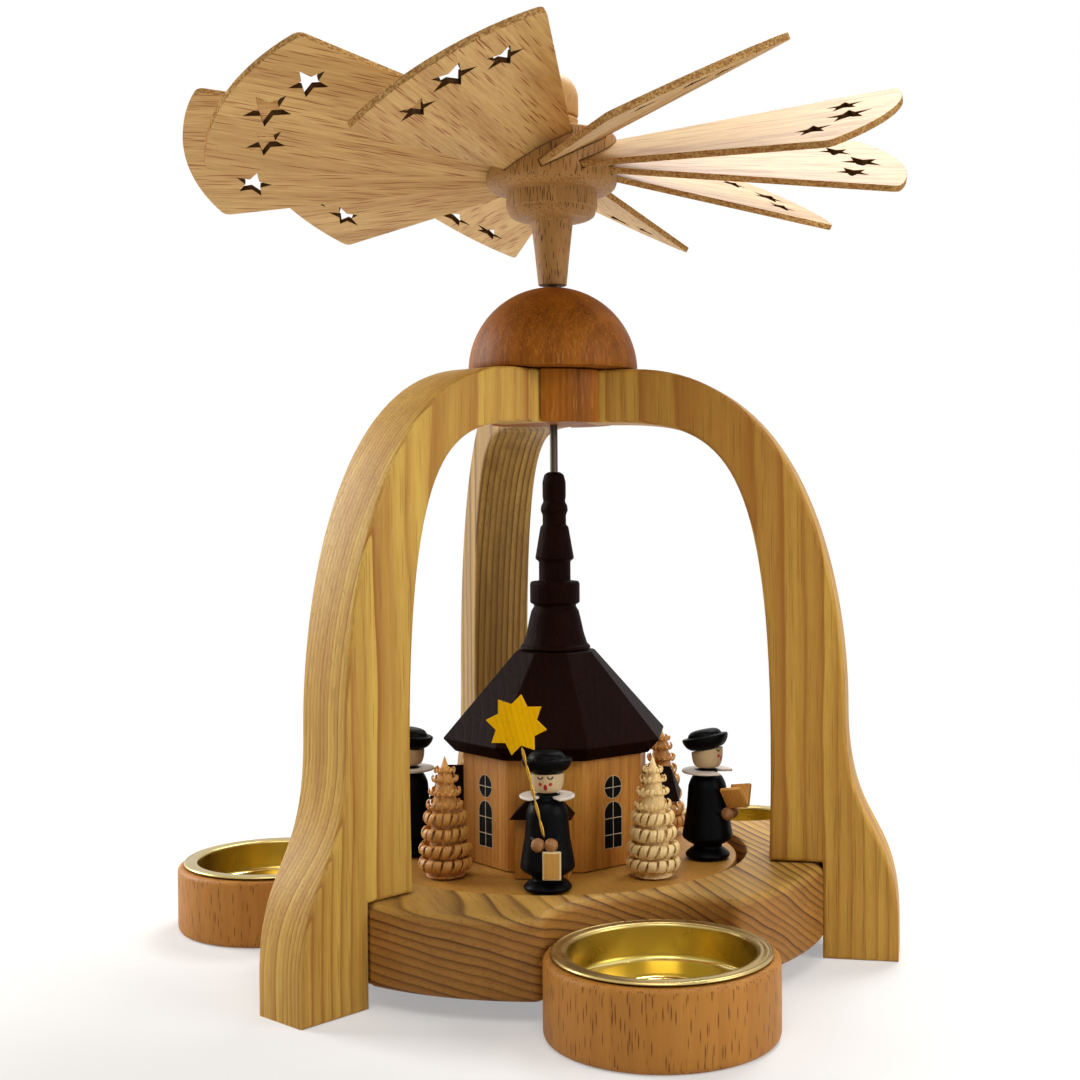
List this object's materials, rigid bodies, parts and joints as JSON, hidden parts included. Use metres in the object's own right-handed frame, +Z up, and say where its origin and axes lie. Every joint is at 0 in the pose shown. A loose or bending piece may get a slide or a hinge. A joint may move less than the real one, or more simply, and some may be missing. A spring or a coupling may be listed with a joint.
{
  "type": "candle carousel",
  "caption": "Arched wooden candle carousel: pitched star-pierced blades on a spindle turn a round table with an octagonal church, curled trees and carol singers.",
  "frame": {"origin": "on the floor plane, under the centre of the bounding box; the spindle's axis stands 5.75 mm behind it, at +Y", "axes": "+Z up along the spindle; -Y towards the front candle cup, +Y towards the back arch, +X to the right"},
  "size_m": [0.1836, 0.1932, 0.2207],
  "materials": {
    "base_ash": "satin",
    "arch_ash": "satin",
    "crown_beech": "satin",
    "cup_beech": "satin",
    "hub_beech": "satin",
    "blade_plywood": "satin",
    "table_wood": "satin",
    "church_wood": "satin",
    "roof_stain": "satin",
    "tree_shavings": "matte",
    "coat_lacquer": "gloss",
    "collar_paint": "satin",
    "figure_wood": "matte",
    "star_stain": "satin",
    "liner_brass": "polished",
    "bearing_brass": "satin",
    "wire_brass": "polished",
    "spindle_steel": "satin"
  },
  "bodies": {
    "stand": {"base_board": "base_ash", "bearing_cup": "bearing_brass", "arch_back": "arch_ash", "arch_left": "arch_ash", "arch_right": "arch_ash", "arch_core": "crown_beech", "dome_cap": "crown_beech", "candle_cup_front": "cup_beech", "candle_cup_right": "cup_beech", "candle_cup_left": "cup_beech", "brass_liner_front": "liner_brass", "brass_liner_right": "liner_brass", "brass_liner_left": "liner_brass"},
    "carousel": {"spindle": "spindle_steel", "rotor_hub": "hub_beech", "finial_knob": "hub_beech", "blade_01": "blade_plywood", "blade_02": "blade_plywood", "blade_03": "blade_plywood", "blade_04": "blade_plywood", "blade_05": "blade_plywood", "blade_06": "blade_plywood", "blade_07": "blade_plywood", "blade_08": "blade_plywood", "blade_09": "blade_plywood", "blade_10": "blade_plywood", "turntable": "table_wood", "church_body": "church_wood", "church_roof": "roof_stain", "spire": "roof_stain", "porch_roof_front": "roof_stain", "porch_roof_right": "roof_stain", "porch_roof_back": "roof_stain", "porch_roof_left": "roof_stain", "tree_front_right": "tree_shavings", "tree_back_right": "tree_shavings", "tree_back_left": "tree_shavings", "tree_front_left": "tree_shavings", "figure_front_coat": "coat_lacquer", "figure_front_collar": "collar_paint", "figure_front_head": "figure_wood", "figure_front_hat": "coat_lacquer", "figure_front_song_sheet": "figure_wood", "star_rod": "wire_brass", "star": "star_stain", "figure_right_coat": "coat_lacquer", "figure_right_collar": "collar_paint", "figure_right_head": "figure_wood", "figure_right_hat": "coat_lacquer", "figure_right_songbook": "figure_wood", "figure_back_coat": "coat_lacquer", "figure_back_collar": "collar_paint", "figure_back_head": "figure_wood", "figure_back_hat": "coat_lacquer", "figure_back_songbook": "figure_wood", "figure_left_coat": "coat_lacquer", "figure_left_collar": "collar_paint", "figure_left_head": "figure_wood", "figure_left_hat": "coat_lacquer", "figure_left_songbook": "figure_wood"}
  },
  "joints": [
    {"name": "spindle_spin", "type": "hinge", "parent": "stand", "child": "carousel", "pos_m": [0, 0.00575, 0], "axis": [0, 0, 1], "continuous": true}
  ]
}
